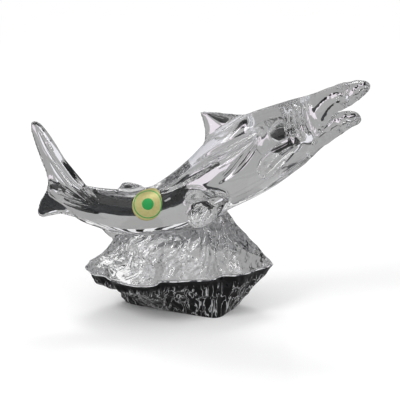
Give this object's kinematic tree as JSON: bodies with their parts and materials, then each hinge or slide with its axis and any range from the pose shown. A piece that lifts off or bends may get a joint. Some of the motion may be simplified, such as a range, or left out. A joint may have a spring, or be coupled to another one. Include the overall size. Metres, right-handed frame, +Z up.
{
  "type": "crystal shark figurine",
  "caption": "Clear crystal figurine of a leaping shark on a rippled rock, bonded to a black crystal foot, with a round foil seal on one flank.",
  "frame": {"origin": "on the flat underside of the foot, below the middle of the figurine", "axes": "+X along the figurine towards the shark's nose, +Z up, the flank with the seal towards -Y"},
  "size_m": [0.189, 0.06, 0.1363],
  "materials": {
    "clear_crystal": "clear, polished",
    "black_crystal": "black, polished",
    "gold_foil": "printed metal foil"
  },
  "bodies": {
    "root": {"crystal_shark": "clear_crystal", "rock_foot": "black_crystal", "foil_seal": "gold_foil"}
  },
  "joints": []
}
